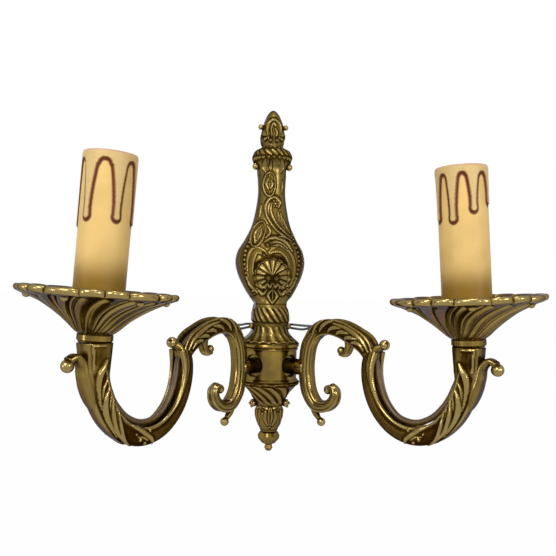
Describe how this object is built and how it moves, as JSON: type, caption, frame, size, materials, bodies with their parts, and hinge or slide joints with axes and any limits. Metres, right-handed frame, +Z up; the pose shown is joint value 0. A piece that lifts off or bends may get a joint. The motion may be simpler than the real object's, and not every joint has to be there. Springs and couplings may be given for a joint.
{
  "type": "wall sconce",
  "caption": "Candelabra wall sconce: a relief pillar and turned hub carry scrolled arms with drip pans, candle sleeves and lampholders.",
  "frame": {"origin": "centre of the hanging hole, on the wall plane", "axes": "+Z up, +Y out of the back into the wall, +X to the viewer's right"},
  "size_m": [0.2808, 0.1594, 0.2338],
  "materials": {
    "antique_brass": "antique, dark in the hollows",
    "shell_brass": "plain",
    "zinc_steel": "zinc plated",
    "candle_plastic": "aged cream, satin",
    "holder_plastic": "moulded",
    "terminal_plastic": "moulded",
    "flex_cover": "gold-brown sheath",
    "core_cover": "grey-blue sheath"
  },
  "bodies": {
    "root": {"pillar_casting": "antique_brass", "hanging_strap": "zinc_steel", "strap_screws": "zinc_steel", "terminal_block": "terminal_plastic", "terminal_screws": "zinc_steel", "terminal_fixing": "zinc_steel", "hub_drum": "antique_brass", "hub_washer": "zinc_steel", "hub_locknut": "zinc_steel", "arm_screws": "zinc_steel", "arm_washers": "zinc_steel", "lower_cone": "antique_brass", "ball_finial": "antique_brass", "tie_rod": "zinc_steel", "arm_left": "antique_brass", "arm_flex_left": "flex_cover", "lead_cores_left": "core_cover", "drip_pan_left": "antique_brass", "cup_collar_left": "antique_brass", "cup_nipple_left": "zinc_steel", "holder_bracket_left": "zinc_steel", "holder_locknut_left": "zinc_steel", "holder_body_left": "holder_plastic", "thread_shell_left": "shell_brass", "centre_contact_left": "shell_brass", "arm_right": "antique_brass", "arm_flex_right": "flex_cover", "lead_cores_right": "core_cover", "drip_pan_right": "antique_brass", "cup_collar_right": "antique_brass", "cup_nipple_right": "zinc_steel", "holder_bracket_right": "zinc_steel", "holder_locknut_right": "zinc_steel", "holder_body_right": "holder_plastic", "thread_shell_right": "shell_brass", "centre_contact_right": "shell_brass"},
    "sleeve_left": {"candle_sleeve_left": "candle_plastic"},
    "sleeve_right": {"candle_sleeve_right": "candle_plastic"}
  },
  "joints": [
    {"name": "sleeve_left_lift", "type": "slide", "parent": "root", "child": "sleeve_left", "axis": [0.061, 0, 0.9981], "range_m": [0, 0.09]},
    {"name": "sleeve_right_lift", "type": "slide", "parent": "root", "child": "sleeve_right", "axis": [-0.061, 0, 0.9981], "range_m": [0, 0.09]}
  ]
}
